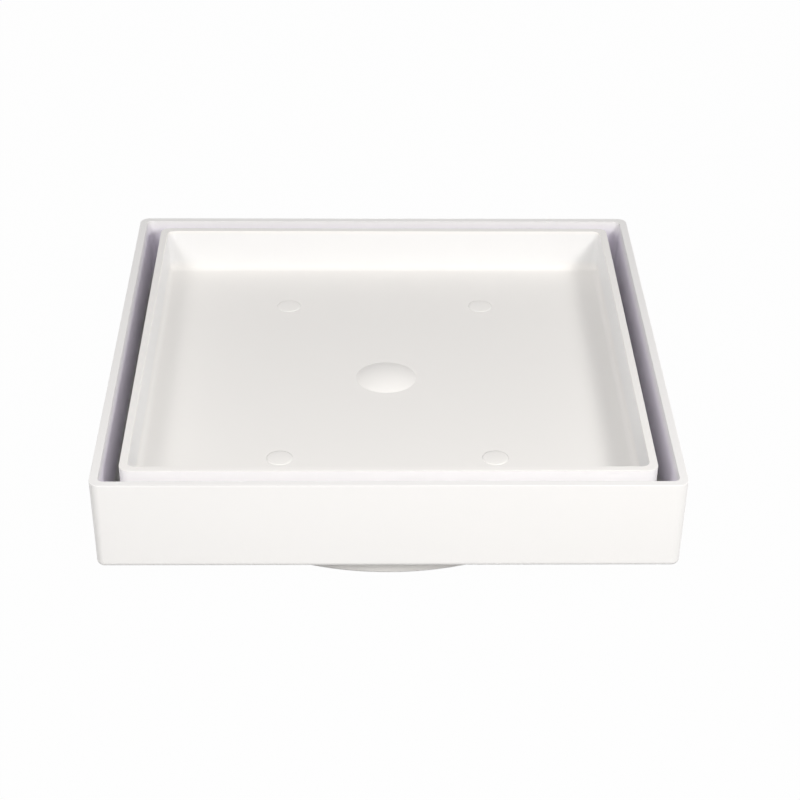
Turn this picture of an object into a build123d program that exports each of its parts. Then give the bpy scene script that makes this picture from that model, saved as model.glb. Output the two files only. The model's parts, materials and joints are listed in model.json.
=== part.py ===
"""Floor drain with a tile insert: a square drain body with a pipe sleeve, and the tray that stands in it.

The origin is the centre of the sleeve's lower end. +Z is up, and -Y is the side that faces the viewer.
"""

import os
from math import radians, tan

from build123d import *

os.makedirs("parts", exist_ok=True)

# Drain body
body_width = 110.0
body_height = 18.5
body_wall = 1.55
body_floor = 2.6
body_corner = 2.0
body_inner_corner = 1.2
body_draft = 1.5
rim_bevel = 0.4
base_round = 1.0

# Pipe sleeve and the water's way down
pipe_diameter = 90.0
pipe_clearance = 0.2
sleeve_wall = 2.5
sleeve_length = 6.5
sleeve_root_bevel = 0.6
sleeve_lead_in = 0.5
shoulder_width = 3.0
floor_fall = 0.8
dish_margin = 2.5
lip_bevel = 0.4

# Tile insert
water_gap = 3.45
tray_wall = 1.5
tray_floor = 2.0
tray_depth = 9.5
tray_corner = 2.0
tray_inner_corner = 1.6
tray_draft = 1.5
tray_rim_bevel = 0.35
tray_base_bevel = 0.5
tray_floor_round = 1.2

# Feet of the insert and the pegs that they stand over
foot_inset = 7.0
foot_wall = 1.8
peg_diameter = 4.4
peg_height = 2.2
peg_clearance = 0.3

# Marks that the mould leaves on the insert
lens_diameter = 12.0
lens_height = 1.5
gate_recess_diameter = 9.0
gate_recess_depth = 1.2
pin_mark_diameter = 5.8
pin_mark_height = 0.15
pin_mark_spacing_x = 42.0
pin_mark_spacing_y = 63.0

# Levels, counted from the sleeve's lower end
underside_level = sleeve_length
floor_level = underside_level + body_floor
rim_level = underside_level + body_height
bed_level = rim_level - tray_depth
tray_underside_level = bed_level - tray_floor
foot_height = tray_underside_level - floor_level
rim_plane = Plane.XY.offset(rim_level)

# Sizes that follow from the ones above
body_opening = body_width - 2 * body_wall
floor_width = body_opening - 2 * (body_height - body_floor) * tan(radians(body_draft))
socket_radius = pipe_diameter / 2 + pipe_clearance
sleeve_radius = socket_radius + sleeve_wall
waterway_radius = pipe_diameter / 2 - shoulder_width
dish_radius = floor_width / 2 - dish_margin
tray_width = body_opening - 2 * water_gap
bed_width = tray_width - 2 * tray_wall
foot_bore = peg_diameter + 2 * peg_clearance
foot_diameter = foot_bore + 2 * foot_wall
foot_spacing = tray_width - 2 * foot_inset


def new_walls(part):
    """Return the upright faces that the last operation made on a part."""
    return part.faces(Select.LAST).filter_by(Axis.Z, reverse=True)


def flat_faces_at(part, level):
    """Return the level faces of a part that lie at one height."""
    return part.faces().filter_by(Axis.Z).group_by(lambda face: abs(face.center().Z - level))[0]


def circles_at(part, level, radius):
    """Return the circular edges of a part with one radius at one height."""
    circles = part.edges().filter_by(GeomType.CIRCLE).filter_by(lambda edge: abs(edge.radius - radius) < 1e-4)
    return circles.filter_by(lambda edge: abs(edge.center().Z - level) < 1e-4)


# Drain body: a drafted square tray, rounded below, with the sleeve under its floor
with BuildPart() as drain_body:
    with BuildSketch(rim_plane):
        RectangleRounded(body_width, body_width, body_corner)
    extrude(amount=-body_height)
    draft(new_walls(drain_body), neutral_plane=rim_plane, angle=-body_draft)
    fillet(flat_faces_at(drain_body, underside_level).edges(), radius=base_round)

    with BuildSketch(rim_plane):
        RectangleRounded(body_opening, body_opening, body_inner_corner)
    extrude(amount=-(body_height - body_floor), mode=Mode.SUBTRACT)
    draft(new_walls(drain_body), neutral_plane=rim_plane, angle=body_draft)
    chamfer(flat_faces_at(drain_body, rim_level).edges(), length=rim_bevel)

    with BuildSketch():
        Circle(sleeve_radius)
    extrude(amount=sleeve_length)
    chamfer(circles_at(drain_body, underside_level, sleeve_radius), length=sleeve_root_bevel)
    chamfer(circles_at(drain_body, 0, sleeve_radius), length=sleeve_lead_in)

    # The dish, the waterway and the pipe's socket are one turned cut
    with BuildSketch(Plane.XZ) as passage:
        with BuildLine():
            Polyline(
                (0, 0),
                (socket_radius + sleeve_lead_in, 0),
                (socket_radius, sleeve_lead_in),
                (socket_radius, underside_level),
                (waterway_radius, underside_level),
                (waterway_radius, floor_level - floor_fall),
                (dish_radius, floor_level),
                (0, floor_level),
                close=True,
            )
        make_face()
        lip = passage.vertices().sort_by_distance((waterway_radius, floor_level - floor_fall))[0]
        chamfer(lip, length=lip_bevel)
    revolve(axis=Axis.Z, mode=Mode.SUBTRACT)

    # Pegs that keep the insert centred
    with BuildSketch(Plane.XY.offset(floor_level)):
        with GridLocations(foot_spacing, foot_spacing, 2, 2):
            Circle(peg_diameter / 2)
    extrude(amount=peg_height)

# Tile insert: a shallow drafted tray on four tubular feet
with BuildPart() as tile_insert:
    with BuildSketch(rim_plane):
        RectangleRounded(tray_width, tray_width, tray_corner)
    extrude(amount=-(tray_depth + tray_floor))
    draft(new_walls(tile_insert), neutral_plane=rim_plane, angle=-tray_draft)
    chamfer(flat_faces_at(tile_insert, tray_underside_level).edges(), length=tray_base_bevel)

    with BuildSketch(rim_plane):
        RectangleRounded(bed_width, bed_width, tray_inner_corner)
    extrude(amount=-tray_depth, mode=Mode.SUBTRACT)
    draft(new_walls(tile_insert), neutral_plane=rim_plane, angle=tray_draft)
    fillet(flat_faces_at(tile_insert, bed_level).edges(), radius=tray_floor_round)
    chamfer(flat_faces_at(tile_insert, rim_level).edges(), length=tray_rim_bevel)

    with BuildSketch(Plane.XY.offset(tray_underside_level)):
        with GridLocations(foot_spacing, foot_spacing, 2, 2):
            Circle(foot_diameter / 2)
            Circle(foot_bore / 2, mode=Mode.SUBTRACT)
    extrude(amount=-foot_height)

    # Gate lens on the bed, a turned cap, with the gate's recess under it
    with BuildSketch(Plane.XZ):
        with BuildLine():
            cap = TangentArc((0, bed_level + lens_height), (lens_diameter / 2, bed_level), tangent=(1, 0))
            Polyline(cap @ 1, (0, bed_level), cap @ 0)
        make_face()
    revolve(axis=Axis.Z)
    with BuildSketch(Plane.XZ):
        with BuildLine():
            recess = TangentArc(
                (0, tray_underside_level + gate_recess_depth),
                (gate_recess_diameter / 2, tray_underside_level),
                tangent=(1, 0),
            )
            Polyline(recess @ 1, (0, tray_underside_level), recess @ 0)
        make_face()
    revolve(axis=Axis.Z, mode=Mode.SUBTRACT)

    # Ejector-pin marks
    with BuildSketch(Plane.XY.offset(bed_level)):
        with GridLocations(pin_mark_spacing_x, pin_mark_spacing_y, 2, 2):
            Circle(pin_mark_diameter / 2)
    extrude(amount=pin_mark_height)

drain_body.part.label = "drain_body"
export_step(drain_body.part, "parts/drain_body.step")

tile_insert.part.label = "tile_insert"
export_step(tile_insert.part, "parts/tile_insert.step")
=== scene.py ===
"""Looks of a tile-insert floor drain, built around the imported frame.

The drain body and the tile insert are lofted as closed skins from their cross-sections. Their outer sizes
and levels come from the frame, and small moulding details are named fields of each class, in millimetres.
Feet, pegs and pin marks repeat on a grid, so Geometry Nodes place them.
"""

import json
import logging
import math
from collections.abc import Sequence
from dataclasses import dataclass
from enum import Enum

import bmesh
import bpy
from mathutils import Matrix, Vector


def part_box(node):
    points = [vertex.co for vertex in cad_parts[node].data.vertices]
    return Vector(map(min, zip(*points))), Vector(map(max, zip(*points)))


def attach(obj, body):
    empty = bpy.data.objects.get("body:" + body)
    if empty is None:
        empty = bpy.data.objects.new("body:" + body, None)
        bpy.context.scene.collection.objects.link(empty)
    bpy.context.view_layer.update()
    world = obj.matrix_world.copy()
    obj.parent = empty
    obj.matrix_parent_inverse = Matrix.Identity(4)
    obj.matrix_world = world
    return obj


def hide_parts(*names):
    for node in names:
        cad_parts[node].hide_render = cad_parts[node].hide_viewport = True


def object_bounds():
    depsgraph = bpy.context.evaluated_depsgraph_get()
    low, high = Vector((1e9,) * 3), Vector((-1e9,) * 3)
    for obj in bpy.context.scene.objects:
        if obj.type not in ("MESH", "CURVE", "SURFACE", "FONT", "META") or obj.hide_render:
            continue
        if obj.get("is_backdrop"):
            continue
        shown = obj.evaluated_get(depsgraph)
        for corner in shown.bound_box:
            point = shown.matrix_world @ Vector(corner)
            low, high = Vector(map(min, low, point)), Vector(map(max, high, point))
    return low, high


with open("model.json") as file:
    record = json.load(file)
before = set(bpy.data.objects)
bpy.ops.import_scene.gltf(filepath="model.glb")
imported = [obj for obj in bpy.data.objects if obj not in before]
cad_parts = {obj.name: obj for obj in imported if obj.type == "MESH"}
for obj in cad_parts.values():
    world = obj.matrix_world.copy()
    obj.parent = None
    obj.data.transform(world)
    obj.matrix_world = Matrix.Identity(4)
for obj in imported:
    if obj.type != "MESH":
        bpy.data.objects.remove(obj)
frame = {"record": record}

MM = 0.001
BODY = "root"

log = logging.getLogger("floor_drain")


class Outline(Enum):
    """Plan shape of one ring of a skin."""

    SQUARE = "rounded square"
    ROUND = "circle"


@dataclass(frozen=True)
class Corner:
    """One corner of a moulding's cross-section.

    Attributes:
        reach: Distance from the axis to the ring, half the width of a square ring, in millimetres.
        level: Height of the ring, in millimetres.
        outline: Plan shape of the ring.
        soft: Radius that rounds this corner of the section.
        plan_offset: Plan corner radius of a square ring less its reach, so that rings stay parallel.
    """

    reach: float
    level: float
    outline: Outline = Outline.ROUND
    soft: float = 0.0
    plan_offset: float = 0.0


@dataclass(frozen=True)
class Ring:
    """One ring of vertices on a skin, in millimetres.

    Attributes:
        reach: Distance from the axis to the ring, half the width of a square ring.
        level: Height of the ring.
        outline: Plan shape of the ring.
        plan_corner: Plan corner radius of a square ring.
    """

    reach: float
    level: float
    outline: Outline
    plan_corner: float


@dataclass(frozen=True)
class Section:
    """Cross-section of a turned or square moulding, with rounded corners.

    Attributes:
        corners: Corners in order around the section.
        closed: True where the section is a loop, False where it starts and ends on the axis.
        steps: Number of spans along each round.
        hold: Length of the flat span beside each round, in millimetres.
        least_plan_corner: Smallest plan corner of a square ring, in millimetres.
    """

    corners: Sequence[Corner]
    closed: bool = True
    steps: int = 7
    hold: float = 0.14
    least_plan_corner: float = 0.05

    def rings(self) -> list[Ring]:
        """Round every corner and return the rings in order.

        Returns:
            Rings with a short flat hold beside each round, which keeps the shading of the flats even.
        """
        rings: list[Ring] = []
        count = len(self.corners)
        for index, corner in enumerate(self.corners):
            at_end = not self.closed and index in (0, count - 1)
            if at_end or corner.soft == 0.0:
                rings.append(self._ring(corner, corner.reach, corner.level))
                continue
            rings.extend(self._rounded(self.corners[index - 1], corner, self.corners[(index + 1) % count]))
        return rings

    def _rounded(self, before: Corner, corner: Corner, after: Corner) -> list[Ring]:
        """Return the rings of one rounded corner, with a hold before and after it.

        Args:
            before: Previous corner of the section.
            corner: Corner that is rounded.
            after: Next corner of the section.

        Returns:
            Rings along the round, in the section's order.
        """
        here = Vector((corner.reach, corner.level))
        back = (Vector((before.reach, before.level)) - here).normalized()
        ahead = (Vector((after.reach, after.level)) - here).normalized()
        half_angle = back.angle(ahead) / 2
        run = corner.soft / math.tan(half_angle)
        centre = here + (back + ahead).normalized() * (corner.soft / math.sin(half_angle))
        start = here + back * run - centre
        sweep = math.pi - 2 * half_angle
        turn = 1.0 if start.y * back.x - start.x * back.y > 0 else -1.0
        path = [here + back * (run + self.hold)]
        for step in range(self.steps + 1):
            angle = turn * sweep * step / self.steps
            cos, sin = math.cos(angle), math.sin(angle)
            path.append(centre + Vector((start.x * cos - start.y * sin, start.x * sin + start.y * cos)))
        path.append(here + ahead * (run + self.hold))
        return [self._ring(corner, point.x, point.y) for point in path]

    def _ring(self, corner: Corner, reach: float, level: float) -> Ring:
        """Return a ring that keeps the plan corner of its section corner parallel."""
        return Ring(reach, level, corner.outline, max(self.least_plan_corner, reach + corner.plan_offset))


@dataclass(frozen=True)
class Skin:
    """Loft of rings into one closed mesh.

    Attributes:
        guide: Square ring whose points give the directions of the round rings' points.
        side_steps: Number of spans along each straight side of a ring.
        corner_steps: Number of spans around each plan corner.
    """

    guide: Ring
    side_steps: int = 44
    corner_steps: int = 8

    def mesh(self, name: str, section: Section) -> bpy.types.Mesh:
        """Loft a section into a mesh with outward faces.

        Args:
            name: Name of the mesh.
            section: Cross-section to loft.

        Returns:
            Closed, smooth-shaded mesh in metres.
        """
        shape = bmesh.new()
        loops = [self._loop(shape, ring) for ring in section.rings()]
        pairs = list(zip(loops, loops[1:]))
        if section.closed:
            pairs.append((loops[-1], loops[0]))
        for lower, upper in pairs:
            self._bridge(shape, lower, upper)
        bmesh.ops.recalc_face_normals(shape, faces=shape.faces)
        for face in shape.faces:
            face.smooth = True
        mesh = bpy.data.meshes.new(name)
        shape.to_mesh(mesh)
        shape.free()
        return mesh

    def _loop(self, shape: bmesh.types.BMesh, ring: Ring) -> list[bmesh.types.BMVert]:
        """Add one ring of vertices, or a single vertex where the ring has no size."""
        if ring.reach <= 0.0:
            return [shape.verts.new((0.0, 0.0, ring.level * MM))]
        points = self._plan(ring)
        return [shape.verts.new((x * MM, y * MM, ring.level * MM)) for x, y in points]

    def _plan(self, ring: Ring) -> list[tuple[float, float]]:
        """Return the plan points of a ring, in millimetres."""
        if ring.outline is Outline.SQUARE:
            return self._square(ring)
        angles = (math.atan2(y, x) for x, y in self._square(self.guide))
        return [(ring.reach * math.cos(angle), ring.reach * math.sin(angle)) for angle in angles]

    def _square(self, ring: Ring) -> list[tuple[float, float]]:
        """Return the points of a rounded square, corner by corner."""
        radius = ring.plan_corner
        inner = ring.reach - radius
        quarter = []
        for step in range(self.corner_steps + 1):
            angle = math.pi / 2 * step / self.corner_steps
            quarter.append((inner + radius * math.cos(angle), inner + radius * math.sin(angle)))
        for step in range(1, self.side_steps):
            quarter.append((inner - 2 * inner * step / self.side_steps, ring.reach))
        points = []
        for _ in range(4):
            points.extend(quarter)
            quarter = [(-y, x) for x, y in quarter]
        return points

    @staticmethod
    def _bridge(
        shape: bmesh.types.BMesh, lower: list[bmesh.types.BMVert], upper: list[bmesh.types.BMVert]
    ) -> None:
        """Join two loops of vertices with faces, as a fan where one of them is a single vertex."""
        count = max(len(lower), len(upper))
        for index in range(count):
            after = (index + 1) % count
            if len(lower) == 1:
                shape.faces.new((lower[0], upper[after], upper[index]))
            elif len(upper) == 1:
                shape.faces.new((lower[index], lower[after], upper[0]))
            else:
                shape.faces.new((lower[index], lower[after], upper[after], upper[index]))


@dataclass(frozen=True)
class CornerGrid:
    """Geometry Nodes tree that adds one small form at the four corners of a rectangle.

    Attributes:
        spacing_x: Distance between the forms along X, in millimetres.
        spacing_y: Distance between the forms along Y, in millimetres.
    """

    spacing_x: float
    spacing_y: float

    @staticmethod
    def tree() -> bpy.types.NodeTree:
        """Build the node tree once and return it.

        Returns:
            Geometry node group with named inputs for the form, its spacing and its plastic.
        """
        name = "form_at_four_corners"
        if name in bpy.data.node_groups:
            return bpy.data.node_groups[name]
        tree = bpy.data.node_groups.new(name, "GeometryNodeTree")
        sockets = tree.interface
        sockets.new_socket("Moulding", in_out="INPUT", socket_type="NodeSocketGeometry")
        sockets.new_socket("Form", in_out="INPUT", socket_type="NodeSocketObject")
        sockets.new_socket("Spacing X", in_out="INPUT", socket_type="NodeSocketFloat")
        sockets.new_socket("Spacing Y", in_out="INPUT", socket_type="NodeSocketFloat")
        sockets.new_socket("Plastic", in_out="INPUT", socket_type="NodeSocketMaterial")
        sockets.new_socket("Moulding", in_out="OUTPUT", socket_type="NodeSocketGeometry")
        nodes, links = tree.nodes, tree.links
        given = nodes.new("NodeGroupInput")
        grid = nodes.new("GeometryNodeMeshGrid")
        grid.inputs["Vertices X"].default_value = 2
        grid.inputs["Vertices Y"].default_value = 2
        form = nodes.new("GeometryNodeObjectInfo")
        place = nodes.new("GeometryNodeInstanceOnPoints")
        join = nodes.new("GeometryNodeJoinGeometry")
        realize = nodes.new("GeometryNodeRealizeInstances")
        dress = nodes.new("GeometryNodeSetMaterial")
        result = nodes.new("NodeGroupOutput")
        links.new(given.outputs["Spacing X"], grid.inputs["Size X"])
        links.new(given.outputs["Spacing Y"], grid.inputs["Size Y"])
        links.new(given.outputs["Form"], form.inputs["Object"])
        links.new(grid.outputs["Mesh"], place.inputs["Points"])
        links.new(form.outputs["Geometry"], place.inputs["Instance"])
        links.new(given.outputs["Moulding"], join.inputs["Geometry"])
        links.new(place.outputs["Instances"], join.inputs["Geometry"])
        links.new(join.outputs["Geometry"], realize.inputs["Geometry"])
        links.new(realize.outputs["Geometry"], dress.inputs["Geometry"])
        links.new(given.outputs["Plastic"], dress.inputs["Material"])
        links.new(dress.outputs["Geometry"], result.inputs["Moulding"])
        return tree

    def add(self, moulding: bpy.types.Object, form: bpy.types.Mesh, plastic: bpy.types.Material) -> None:
        """Join the four forms to a moulding and leave it a plain mesh.

        Args:
            moulding: Object that receives the forms.
            form: Mesh of one form, centred on the axis at its own level.
            plastic: Material of the result.
        """
        for mesh in (moulding.data, form):
            if not mesh.materials:
                mesh.materials.append(plastic)
        pattern = bpy.data.objects.new(form.name, form)
        modifier = moulding.modifiers.new("corner_grid", "NODES")
        modifier.node_group = self.tree()
        values = {
            "Form": pattern,
            "Spacing X": self.spacing_x * MM,
            "Spacing Y": self.spacing_y * MM,
            "Plastic": plastic,
        }
        for item in modifier.node_group.interface.items_tree:
            if item.in_out == "INPUT" and item.name in values:
                modifier[item.identifier] = values[item.name]
        bpy.context.view_layer.update()
        evaluated = moulding.evaluated_get(bpy.context.evaluated_depsgraph_get())
        joined = bpy.data.meshes.new_from_object(evaluated)
        moulding.modifiers.remove(modifier)
        moulding.data = joined
        bpy.data.objects.remove(pattern)


@dataclass(frozen=True)
class PaintedLightShadeBand:
    """Band of faces with painted light or shade mixed into the white, sizes in millimetres.

    Attributes:
        colour: Linear colour of the band.
        reach: Least and greatest distance of the band from the axis, square in plan.
        levels: Levels between which the colour comes in, then levels between which it goes out.
    """

    colour: tuple[float, float, float]
    reach: tuple[float, float]
    levels: tuple[float, float, float, float]


@dataclass(frozen=True)
class MouldedPlastic:
    """White satin plastic with a faint mould grain and flow shading.

    Attributes:
        name: Name of the material.
        base: Linear colour of the plastic.
        flow: Linear colour of the faintly darker flow marks.
        roughness: Lowest and highest surface roughness.
        sheen: Strength of the mirror-like part of the finish.
        ior: Index of refraction of the plastic.
        painted_bands: Bands of faces with painted light or shade in their white.
        grain_height: Height of the mould grain, in millimetres.
        grain_strength: Share of the grain that shows.
        grain_scale: Scale of the noise behind the grain.
        flow_scale: Scale of the noise behind the flow marks.
        flow_detail: Detail of the noise behind the flow marks.
        polish_scale: Scale of the noise behind the roughness.
        fine_detail: Detail of the noise behind the grain and the roughness.
    """

    name: str
    base: tuple[float, float, float]
    flow: tuple[float, float, float]
    roughness: tuple[float, float]
    sheen: float = 0.25
    ior: float = 1.52
    painted_bands: tuple[PaintedLightShadeBand, ...] = ()
    grain_height: float = 0.004
    grain_strength: float = 0.35
    grain_scale: float = 2600.0
    flow_scale: float = 34.0
    flow_detail: float = 3.0
    polish_scale: float = 170.0
    fine_detail: float = 2.0

    def material(self) -> bpy.types.Material:
        """Build the node material.

        Returns:
            Material on object coordinates.
        """
        plastic = bpy.data.materials.new(self.name)
        plastic.use_nodes = True
        nodes, links = plastic.node_tree.nodes, plastic.node_tree.links
        shader = nodes["Principled BSDF"]
        shader.inputs["IOR"].default_value = self.ior
        shader.inputs["Specular IOR Level"].default_value = self.sheen
        place = nodes.new("ShaderNodeTexCoord").outputs["Object"]

        flow = self._noise(plastic, place, self.flow_scale, self.flow_detail)
        tint = nodes.new("ShaderNodeMix")
        tint.data_type = "RGBA"
        tint.inputs["A"].default_value = (*self.base, 1.0)
        tint.inputs["B"].default_value = (*self.flow, 1.0)
        links.new(flow, tint.inputs["Factor"])
        colour = tint.outputs["Result"]
        # Mix in the bands of painted light and shade.
        for painted_band in self.painted_bands:
            colour = self._with_painted_band(plastic.node_tree, place, colour, painted_band)
        links.new(colour, shader.inputs["Base Color"])

        polish = nodes.new("ShaderNodeMapRange")
        polish.inputs["To Min"].default_value = self.roughness[0]
        polish.inputs["To Max"].default_value = self.roughness[1]
        links.new(self._noise(plastic, place, self.polish_scale, self.fine_detail), polish.inputs["Value"])
        links.new(polish.outputs["Result"], shader.inputs["Roughness"])

        grain = nodes.new("ShaderNodeBump")
        grain.inputs["Strength"].default_value = self.grain_strength
        grain.inputs["Distance"].default_value = self.grain_height * MM
        links.new(self._noise(plastic, place, self.grain_scale, self.fine_detail), grain.inputs["Height"])
        links.new(grain.outputs["Normal"], shader.inputs["Normal"])
        return plastic

    def _with_painted_band(
        self,
        tree: bpy.types.NodeTree,
        place: bpy.types.NodeSocket,
        colour: bpy.types.NodeSocket,
        painted_band: PaintedLightShadeBand,
    ) -> bpy.types.NodeSocket:
        """Mix one band of painted light or shade into a colour.

        Args:
            tree: Node tree of the material.
            place: Socket of the object coordinates.
            colour: Socket of the colour elsewhere.
            painted_band: Band of faces that gets the painted light or shade.

        Returns:
            Socket of the mixed colour.
        """
        axes = tree.nodes.new("ShaderNodeSeparateXYZ")
        tree.links.new(place, axes.inputs["Vector"])
        across = self._math(tree, "ABSOLUTE", axes.outputs["X"])
        along = self._math(tree, "ABSOLUTE", axes.outputs["Y"])
        reach = self._math(tree, "MAXIMUM", across, along)
        least, most = painted_band.reach
        share = self._math(tree, "GREATER_THAN", reach, least * MM)
        share = self._math(tree, "MULTIPLY", share, self._math(tree, "LESS_THAN", reach, most * MM))
        low, low_full, high_full, high = painted_band.levels
        for nil, full in ((low, low_full), (high, high_full)):
            ramp = tree.nodes.new("ShaderNodeMapRange")
            ramp.inputs["From Min"].default_value = nil * MM
            ramp.inputs["From Max"].default_value = full * MM
            tree.links.new(axes.outputs["Z"], ramp.inputs["Value"])
            share = self._math(tree, "MULTIPLY", share, ramp.outputs["Result"])
        mix = tree.nodes.new("ShaderNodeMix")
        mix.data_type = "RGBA"
        mix.inputs["B"].default_value = (*painted_band.colour, 1.0)
        tree.links.new(share, mix.inputs["Factor"])
        tree.links.new(colour, mix.inputs["A"])
        return mix.outputs["Result"]

    @staticmethod
    def _math(
        tree: bpy.types.NodeTree,
        operation: str,
        first: bpy.types.NodeSocket,
        second: bpy.types.NodeSocket | float = 0.0,
    ) -> bpy.types.NodeSocket:
        """Add a math node on one or two values and return its value socket."""
        node = tree.nodes.new("ShaderNodeMath")
        node.operation = operation
        tree.links.new(first, node.inputs[0])
        if isinstance(second, float):
            node.inputs[1].default_value = second
        else:
            tree.links.new(second, node.inputs[1])
        return node.outputs[0]

    @staticmethod
    def _noise(
        material: bpy.types.Material, place: bpy.types.NodeSocket, scale: float, detail: float
    ) -> bpy.types.NodeSocket:
        """Add a noise texture and return its value socket."""
        noise = material.node_tree.nodes.new("ShaderNodeTexNoise")
        noise.inputs["Scale"].default_value = scale
        noise.inputs["Detail"].default_value = detail
        material.node_tree.links.new(place, noise.inputs["Vector"])
        return noise.outputs["Fac"]


def mount(name: str) -> dict:
    """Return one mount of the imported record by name."""
    return next(entry for entry in frame["record"]["mounts"] if entry["name"] == name)


def level_of(name: str) -> float:
    """Return the height of a mount's face, in millimetres."""
    return mount(name)["pos_m"][2] / MM


def place_piece(mesh: bpy.types.Mesh, name: str) -> bpy.types.Object:
    """Link a mesh into the scene as an object at the origin."""
    piece = bpy.data.objects.new(name, mesh)
    bpy.context.scene.collection.objects.link(piece)
    return piece


def turned(name: str, corners: Sequence[Corner], closed: bool) -> bpy.types.Mesh:
    """Loft a small round form.

    Args:
        name: Name of the mesh.
        corners: Corners of its section.
        closed: True for a tube, False for a form that is solid on its axis.

    Returns:
        Mesh of the form, centred on the Z axis.
    """
    guide = Ring(reach=1.0, level=0.0, outline=Outline.SQUARE, plan_corner=0.75)
    skin = Skin(guide, side_steps=4, corner_steps=7)
    return skin.mesh(name, Section(corners, closed=closed, steps=3, hold=0.03))


@dataclass(frozen=True)
class DrainBody:
    """Outer tray with the pipe sleeve under its floor, sizes in millimetres.

    Attributes:
        wall: Thickness of the wall at the rim.
        floor: Thickness of the floor.
        plan_corner: Outer corner radius in plan.
        inner_plan_corner: Inner corner radius in plan.
        draft_deg: Draft of the walls, in degrees.
        rim_round: Radius of both edges of the rim.
        base_round: Radius of the outer lower edge.
        floor_round: Radius where the wall meets the floor.
        sleeve_wall: Thickness of the pipe sleeve.
        root_round: Radius where the sleeve meets the underside.
        lead_in: Bevel at the sleeve's lower end.
        shoulder: Width of the shoulder that the pipe's end meets.
        fall: Drop of the floor towards the outlet.
        dish_margin: Width of the level border around the falling floor.
        lip_round: Radius of the outlet's lip and of the dish's border.
        edge: Radius of small edges.
        trim: Rim half-width beyond the frame's box, which the softened rim takes back.
        peg_radius: Radius of a locating peg.
        peg_height: Height of a peg over the floor.
        peg_lead_in: Bevel at the peg's top.
        peg_sink: Depth that a peg reaches into the floor.
    """

    wall: float = 1.55
    floor: float = 2.6
    plan_corner: float = 2.0
    inner_plan_corner: float = 1.2
    draft_deg: float = 1.5
    rim_round: float = 0.1
    base_round: float = 1.0
    floor_round: float = 0.5
    sleeve_wall: float = 2.5
    root_round: float = 0.8
    lead_in: float = 0.5
    shoulder: float = 3.2
    fall: float = 0.8
    dish_margin: float = 2.5
    lip_round: float = 0.6
    edge: float = 0.12
    trim: float = 0.0025
    peg_radius: float = 2.2
    peg_height: float = 2.2
    peg_lead_in: float = 0.6
    peg_sink: float = 0.3

    def build(self, plastic: bpy.types.Material, peg_spacing: float) -> bpy.types.Object:
        """Build the moulding with its pegs.

        Args:
            plastic: Material of the moulding.
            peg_spacing: Distance between the pegs, in millimetres.

        Returns:
            Finished object, placed in the frame.
        """
        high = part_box("drain_body")[1]
        half, rim = high.x / MM + self.trim, high.z / MM
        underside = level_of("underside")
        floor = underside + self.floor
        lean = math.tan(math.radians(self.draft_deg))
        opening = half - self.wall
        floor_half = opening - (rim - floor) * lean
        outer_offset = self.plan_corner - half
        inner_offset = self.inner_plan_corner - opening
        socket = mount("pipe_socket")["dims"]["r_mm"]
        sleeve = socket + self.sleeve_wall
        waterway = socket - self.shoulder
        dish = floor_half - self.dish_margin
        square = Outline.SQUARE
        section = Section(
            (
                Corner(socket + self.lead_in, 0.0, soft=self.edge),
                Corner(socket, self.lead_in, soft=self.edge),
                Corner(socket, underside, soft=self.edge),
                Corner(waterway, underside, soft=self.edge),
                Corner(waterway, floor - self.fall, soft=self.lip_round),
                Corner(dish, floor, soft=self.lip_round),
                Corner(floor_half, floor, square, self.floor_round, inner_offset),
                Corner(opening, rim, square, self.rim_round, inner_offset),
                Corner(half, rim, square, self.rim_round, outer_offset),
                Corner(half - (rim - underside) * lean, underside, square, self.base_round, outer_offset),
                Corner(sleeve, underside, soft=self.root_round),
                Corner(sleeve, self.lead_in, soft=self.edge),
                Corner(sleeve - self.lead_in, 0.0, soft=self.edge),
            )
        )
        guide = Ring(floor_half, floor, square, self.inner_plan_corner)
        piece = place_piece(Skin(guide).mesh("drain_body_moulding", section), "drain_body_moulding")
        CornerGrid(peg_spacing, peg_spacing).add(piece, self._peg(floor), plastic)
        return piece

    def _peg(self, floor: float) -> bpy.types.Mesh:
        """Return the mesh of one locating peg on the floor."""
        top = floor + self.peg_height
        radius = self.peg_radius
        corners = (
            Corner(0.0, floor - self.peg_sink),
            Corner(radius, floor - self.peg_sink, soft=self.edge),
            Corner(radius, top - self.peg_lead_in, soft=self.edge),
            Corner(radius - self.peg_lead_in, top, soft=self.edge),
            Corner(0.0, top),
        )
        return turned("peg", corners, closed=False)


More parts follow.
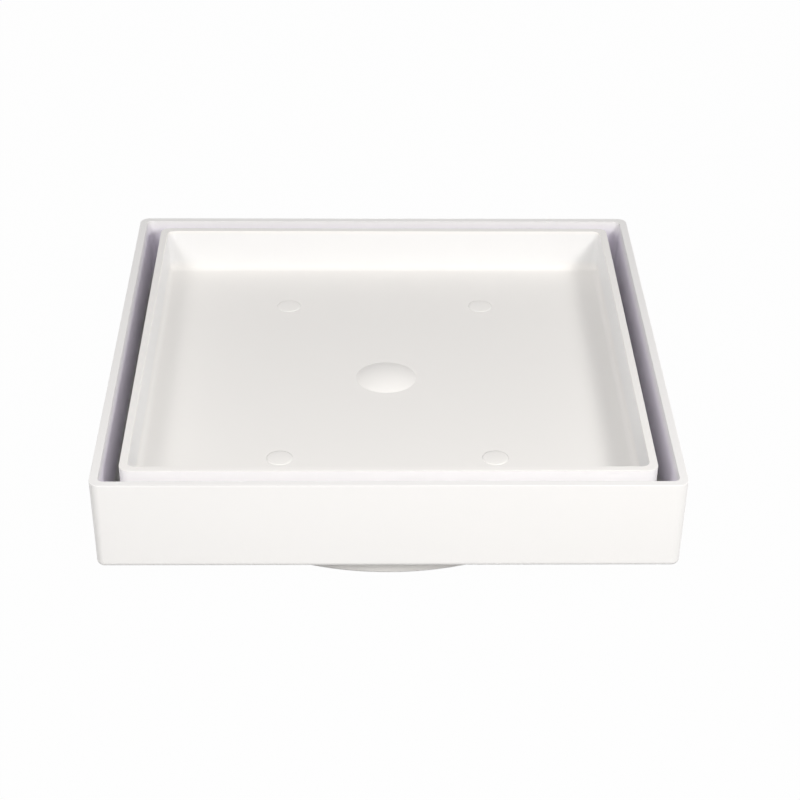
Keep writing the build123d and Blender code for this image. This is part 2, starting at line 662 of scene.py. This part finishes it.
@dataclass(frozen=True)
class TileInsert:
    """Inner tray that takes the tile, on four tubular feet, sizes in millimetres.

    Attributes:
        wall: Thickness of the wall at the rim.
        floor: Thickness of the floor.
        plan_corner: Outer corner radius in plan.
        inner_plan_corner: Inner corner radius in plan.
        draft_deg: Draft of the walls, in degrees.
        rim_round: Radius of both edges of the rim.
        base_round: Radius of the outer lower edge.
        floor_round: Radius where the wall meets the bed.
        edge: Radius of small edges.
        trim: Rim half-width beyond the frame's box, which the softened rim takes back.
        lens_radius: Radius of the raised lens in the middle of the bed.
        lens_height: Height of the lens.
        lens_foot_round: Radius where the lens meets the bed.
        lens_steps: Number of spans from the lens's crown to its foot.
        recess_radius: Radius of the recess under the lens.
        recess_depth: Depth of the recess.
        foot_inset: Distance of a foot's axis from the tray's side.
        foot_radius: Outer radius of a foot.
        foot_bore_radius: Radius of a foot's bore.
        form_sink: Depth that feet and pin marks reach into the tray.
        pin_radius: Radius of a pin mark.
        pin_height: Height of a pin mark.
        pin_slope: Width of a pin mark's sloped edge.
        pin_spacing_x: Distance between pin marks along X.
        pin_spacing_y: Distance between pin marks along Y.
    """

    wall: float = 1.5
    floor: float = 2.0
    plan_corner: float = 2.0
    inner_plan_corner: float = 1.6
    draft_deg: float = 1.5
    rim_round: float = 0.1
    base_round: float = 0.6
    floor_round: float = 1.2
    edge: float = 0.1
    trim: float = 0.0025
    lens_radius: float = 6.2
    lens_height: float = 1.55
    lens_foot_round: float = 0.12
    lens_steps: int = 9
    recess_radius: float = 4.5
    recess_depth: float = 1.2
    foot_inset: float = 7.0
    foot_radius: float = 4.3
    foot_bore_radius: float = 2.5
    form_sink: float = 0.3
    pin_radius: float = 2.6
    pin_height: float = 0.08
    pin_slope: float = 0.35
    pin_spacing_x: float = 42.0
    pin_spacing_y: float = 61.6

    @property
    def half(self) -> float:
        """Half the tray's width at its rim."""
        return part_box("tile_insert")[1].x / MM + self.trim

    @property
    def foot_spacing(self) -> float:
        """Distance between the feet."""
        return 2 * (self.half - self.foot_inset)

    def build(self, plastic: bpy.types.Material) -> bpy.types.Object:
        """Build the moulding with its feet and pin marks.

        Args:
            plastic: Material of the moulding.

        Returns:
            Finished object, placed in the frame.
        """
        low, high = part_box("tile_insert")
        rim, bed = high.z / MM, level_of("tile_bed")
        under = bed - self.floor
        lean = math.tan(math.radians(self.draft_deg))
        bed_half = self.half - self.wall
        outer_offset = self.plan_corner - self.half
        inner_offset = self.inner_plan_corner - bed_half
        bed_foot = bed_half - (rim - bed) * lean
        square = Outline.SQUARE
        section = Section(
            (
                *self._cap(self.recess_radius, self.recess_depth, under, self.edge),
                Corner(bed_half / 3, under),
                Corner(bed_half * 2 / 3, under),
                Corner(self.half - (rim - under) * lean, under, square, self.base_round, outer_offset),
                Corner(self.half, rim, square, self.rim_round, outer_offset),
                Corner(bed_half, rim, square, self.rim_round, inner_offset),
                Corner(bed_foot, bed, square, self.floor_round, inner_offset),
                Corner(bed_half * 2 / 3, bed),
                Corner(bed_half / 3, bed),
                *reversed(self._cap(self.lens_radius, self.lens_height, bed, self.lens_foot_round)),
            ),
            closed=False,
        )
        guide = Ring(bed_foot, bed, square, self.inner_plan_corner)
        piece = place_piece(Skin(guide).mesh("tile_insert_moulding", section), "tile_insert_moulding")
        feet = CornerGrid(self.foot_spacing, self.foot_spacing)
        feet.add(piece, self._foot(low.z / MM, under), plastic)
        marks = CornerGrid(self.pin_spacing_x, self.pin_spacing_y)
        marks.add(piece, self._pin_mark(bed), plastic)
        return piece

    def _cap(self, radius: float, rise: float, level: float, foot: float) -> list[Corner]:
        """Return the section of a shallow spherical cap, from its crown to its rounded foot.

        Args:
            radius: Plan radius of the cap.
            rise: Height of the crown over the foot.
            level: Level of the foot.
            foot: Radius that rounds the foot.

        Returns:
            Corners from the axis outwards.
        """
        sphere = (radius * radius + rise * rise) / (2 * rise)
        spread = math.asin(radius / sphere)
        corners = [Corner(0.0, level + rise)]
        for step in range(1, self.lens_steps):
            angle = spread * step / self.lens_steps
            corners.append(Corner(sphere * math.sin(angle), level + rise - sphere * (1 - math.cos(angle))))
        corners.append(Corner(radius, level, soft=foot))
        return corners

    def _foot(self, stand: float, under: float) -> bpy.types.Mesh:
        """Return the mesh of one tubular foot, from the tray down to the level that it stands on."""
        top = under + self.form_sink
        corners = (
            Corner(self.foot_bore_radius, stand, soft=self.edge),
            Corner(self.foot_radius, stand, soft=self.edge),
            Corner(self.foot_radius, top, soft=self.edge),
            Corner(self.foot_bore_radius, top, soft=self.edge),
        )
        return turned("foot", corners, closed=True)

    def _pin_mark(self, bed: float) -> bpy.types.Mesh:
        """Return the mesh of one raised ejector-pin mark with a sloped edge."""
        top = bed + self.pin_height
        corners = (
            Corner(0.0, bed - self.form_sink),
            Corner(self.pin_radius, bed - self.form_sink, soft=self.edge),
            Corner(self.pin_radius, bed),
            Corner(self.pin_radius - self.pin_slope, top),
            Corner(0.0, top),
        )
        return turned("pin_mark", corners, closed=False)


@dataclass(frozen=True)
class Viewpoint:
    """Camera at the photo's viewing angle, angles in degrees and lengths in millimetres.

    Attributes:
        place: Position of the camera.
        yaw: Angle that the view turns in plan, towards the left.
        pitch: Angle that the view looks down.
        roll: Angle that the camera leans about its axis.
        focal_px: Focal length in pixels of the square picture.
        picture_px: Width of the picture in pixels.
        clip_start: Distance at which the view begins.
    """

    place: tuple[float, float, float] = (-5.138, -374.62, 236.49)
    yaw: float = -1.234
    pitch: float = 31.146
    roll: float = 0.626
    focal_px: float = 2099.24
    picture_px: float = 800.0
    clip_start: float = 10.0

    def add(self) -> bpy.types.Object:
        """Add the camera to the scene and make it the active one.

        Returns:
            Camera object.
        """
        data = bpy.data.cameras.new("photo_camera")
        data.lens = self.focal_px / self.picture_px * data.sensor_width
        data.clip_start = self.clip_start * MM
        camera = bpy.data.objects.new("photo_camera", data)
        plan = Matrix.Rotation(math.radians(self.yaw), 3, "Z")
        tilt = Matrix.Rotation(math.radians(90.0 - self.pitch), 3, "X")
        lean = Matrix.Rotation(math.radians(self.roll), 3, "Z")
        camera.rotation_euler = (plan @ tilt @ lean).to_euler()
        camera.location = Vector(self.place) * MM
        bpy.context.scene.collection.objects.link(camera)
        bpy.context.scene.camera = camera
        return camera


@dataclass(frozen=True)
class Softbox:
    """Square studio light aimed at the drain, angles in degrees and lengths in metres.

    Attributes:
        name: Name of the light.
        azimuth: Direction in plan, from the front towards the right.
        elevation: Height of the light as an angle.
        distance: Distance from the drain.
        size: Side of the light.
        power: Watts.
        colour: Linear colour of the light.
    """

    name: str
    azimuth: float
    elevation: float
    distance: float
    size: float
    power: float
    colour: tuple[float, float, float] = (1.0, 0.987, 0.965)

    def add(self, target: Vector) -> bpy.types.Object:
        """Add the light, aimed at a point.

        Args:
            target: Point that the light looks at.

        Returns:
            Light object.
        """
        data = bpy.data.lights.new(self.name, "AREA")
        data.shape = "SQUARE"
        data.size = self.size
        data.energy = self.power
        data.color = self.colour
        lamp = bpy.data.objects.new(self.name, data)
        lamp.visible_camera = False
        turn, rise = math.radians(self.azimuth), math.radians(self.elevation)
        aim = Vector((math.sin(turn) * math.cos(rise), -math.cos(turn) * math.cos(rise), math.sin(rise)))
        lamp.location = target + aim * self.distance
        lamp.rotation_euler = aim.to_track_quat("Z", "Y").to_euler()
        bpy.context.scene.collection.objects.link(lamp)
        return lamp


@dataclass(frozen=True)
class Studio:
    """Pale floor, white surround and soft lights.

    Attributes:
        floor_size: Side of the floor, in metres.
        floor_colour: Linear colour of the floor.
        floor_white: Share of plain white in the floor where it is seen directly.
        ambient: Linear colour of the light from all around.
        ambient_strength: Strength of that light.
        lights: Softboxes, and low cards for the upright faces.
    """

    floor_size: float = 6.0
    floor_colour: tuple[float, float, float] = (0.35, 0.35, 0.35)
    floor_white: float = 0.985
    ambient: tuple[float, float, float] = (1.0, 0.985, 0.99)
    ambient_strength: float = 0.455
    lights: tuple[Softbox, ...] = (
        Softbox("right_softbox", azimuth=32.0, elevation=33.0, distance=0.42, size=0.09, power=0.75),
        Softbox("left_softbox", azimuth=-28.0, elevation=33.0, distance=0.42, size=0.09, power=0.475),
        Softbox("front_card", azimuth=4.0, elevation=0.8, distance=0.5, size=0.03, power=0.15),
        Softbox("right_card", azimuth=105.0, elevation=0.8, distance=0.5, size=0.03, power=0.4),
        Softbox("back_card", azimuth=180.0, elevation=0.8, distance=0.5, size=0.03, power=0.55),
        Softbox("left_card", azimuth=-120.0, elevation=0.8, distance=0.5, size=0.03, power=0.3),
    )

    def add(self) -> None:
        """Add floor, surround and lights to the scene."""
        bpy.context.scene.view_settings.view_transform = "Standard"
        self._surround()
        self._floor()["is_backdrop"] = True
        low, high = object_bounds()
        target = (Vector(low) + Vector(high)) / 2
        for light in self.lights:
            light.add(target)

    @staticmethod
    def _seen_directly(tree: bpy.types.NodeTree) -> bpy.types.NodeSocket:
        """Return a socket that is 1 for rays from the camera, a mirror or a glass, and 0 for other rays."""
        path = tree.nodes.new("ShaderNodeLightPath")
        glossy = tree.nodes.new("ShaderNodeMath")
        glossy.operation = "MAXIMUM"
        clear = tree.nodes.new("ShaderNodeMath")
        clear.operation = "MAXIMUM"
        tree.links.new(path.outputs["Is Camera Ray"], glossy.inputs[0])
        tree.links.new(path.outputs["Is Glossy Ray"], glossy.inputs[1])
        tree.links.new(glossy.outputs[0], clear.inputs[0])
        tree.links.new(path.outputs["Is Transmission Ray"], clear.inputs[1])
        return clear.outputs[0]

    def _surround(self) -> None:
        """Make the world white where it is seen, and a soft pale light elsewhere."""
        world = bpy.data.worlds.new("white_surround")
        world.use_nodes = True
        bpy.context.scene.world = world
        tree = world.node_tree
        soft = tree.nodes["Background"]
        soft.inputs["Color"].default_value = (*self.ambient, 1.0)
        soft.inputs["Strength"].default_value = self.ambient_strength
        white = tree.nodes.new("ShaderNodeBackground")
        white.inputs["Color"].default_value = (1.0, 1.0, 1.0, 1.0)
        mix = tree.nodes.new("ShaderNodeMixShader")
        tree.links.new(self._seen_directly(tree), mix.inputs["Fac"])
        tree.links.new(soft.outputs[0], mix.inputs[1])
        tree.links.new(white.outputs[0], mix.inputs[2])
        tree.links.new(mix.outputs[0], tree.nodes["World Output"].inputs["Surface"])

    def _floor(self) -> bpy.types.Object:
        """Return a pale floor that looks nearly white and keeps the drain's shadow."""
        shape = bmesh.new()
        bmesh.ops.create_grid(shape, x_segments=1, y_segments=1, size=self.floor_size / 2)
        mesh = bpy.data.meshes.new("studio_floor")
        shape.to_mesh(mesh)
        shape.free()
        paint = bpy.data.materials.new("studio_floor")
        paint.use_nodes = True
        tree = paint.node_tree
        tree.nodes.remove(tree.nodes["Principled BSDF"])
        matt = tree.nodes.new("ShaderNodeBsdfDiffuse")
        matt.inputs["Color"].default_value = (*self.floor_colour, 1.0)
        white = tree.nodes.new("ShaderNodeEmission")
        share = tree.nodes.new("ShaderNodeMath")
        share.operation = "MULTIPLY"
        share.inputs[1].default_value = self.floor_white
        mix = tree.nodes.new("ShaderNodeMixShader")
        tree.links.new(self._seen_directly(tree), share.inputs[0])
        tree.links.new(share.outputs[0], mix.inputs["Fac"])
        tree.links.new(matt.outputs[0], mix.inputs[1])
        tree.links.new(white.outputs[0], mix.inputs[2])
        tree.links.new(mix.outputs[0], tree.nodes["Material Output"].inputs["Surface"])
        mesh.materials.append(paint)
        return place_piece(mesh, "studio_floor")


def dress(piece: bpy.types.Object, node: str) -> None:
    """Let a piece stand for a node of the frame and report it.

    Args:
        piece: Finished object.
        node: Name of the node that it replaces.
    """
    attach(piece, BODY)
    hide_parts(node)
    log.info("%s stands for %s with %d faces", piece.name, node, len(piece.data.polygons))


def body_plastic() -> MouldedPlastic:
    """Return the white of the drain body, with painted light and shade in the gap and painted light on the
    sleeve.

    Returns:
        Finish whose gap is painted lighter and cooler, standing in for light that thin walls let through,
        and lilac lower down as a painted shadow tint, and whose sleeve is painted lighter and warmer where
        the body shades it.
    """
    # Painted light: the body's inner walls along the gap are lighter and cooler, standing in for light
    # through the thin walls.
    painted_gap_light = PaintedLightShadeBand((0.98, 0.972, 0.97), reach=(0.0, 54.0), levels=(11.0, 13.0, 24.6, 24.95))
    # Painted shadow tint: a lilac white lower in the gap, where shade falls between the body and the
    # insert.
    painted_gap_shadow_tint = PaintedLightShadeBand((0.945, 0.905, 1.0), reach=(0.0, 54.0), levels=(11.0, 13.0, 21.5, 24.8))
    # Painted light: the sleeve under the body is lighter and warmer, standing in for light where the body's
    # overhang shades it.
    sleeve = PaintedLightShadeBand((0.985, 0.97, 0.945), reach=(0.0, 49.0), levels=(-2.0, -1.0, 5.0, 6.5))
    return MouldedPlastic(
        "drain_body_plastic",
        base=(0.922, 0.915, 0.906),
        flow=(0.909, 0.902, 0.893),
        roughness=(0.4, 0.52),
        painted_bands=(painted_gap_light, painted_gap_shadow_tint, sleeve),
    )


def insert_plastic() -> MouldedPlastic:
    """Return the warmer white of the tile insert, with painted light on its outer walls and painted shade
    on its inner walls.

    Returns:
        Finish whose lighter outer walls are painted light standing in for light that thin walls let
        through, and whose greyer inner walls are painted shade.
    """
    # Painted light: the insert's outer walls are lighter, standing in for light in the gap.
    painted_outer_light = PaintedLightShadeBand((0.985, 0.98, 0.975), reach=(49.2, 51.0), levels=(13.0, 14.0, 24.6, 24.95))
    # Painted shade: the upper inner walls are a greyer white, darker than the bed because of how light
    # falls.
    painted_inner_shade = PaintedLightShadeBand((0.89, 0.89, 0.89), reach=(47.0, 49.2), levels=(16.0, 18.0, 24.0, 24.8))
    return MouldedPlastic(
        "tile_insert_plastic",
        base=(0.931, 0.918, 0.896),
        flow=(0.918, 0.905, 0.883),
        roughness=(0.4, 0.52),
        painted_bands=(painted_outer_light, painted_inner_shade),
    )


def main() -> None:
    """Build the two mouldings, the camera and the studio."""
    logging.basicConfig(level=logging.INFO, format="%(name)s: %(message)s")
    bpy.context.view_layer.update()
    insert = TileInsert()
    dress(DrainBody().build(body_plastic().material(), insert.foot_spacing), "drain_body")
    dress(insert.build(insert_plastic().material()), "tile_insert")
    Viewpoint().add()
    Studio().add()


if __name__ == "__main__":
    main()
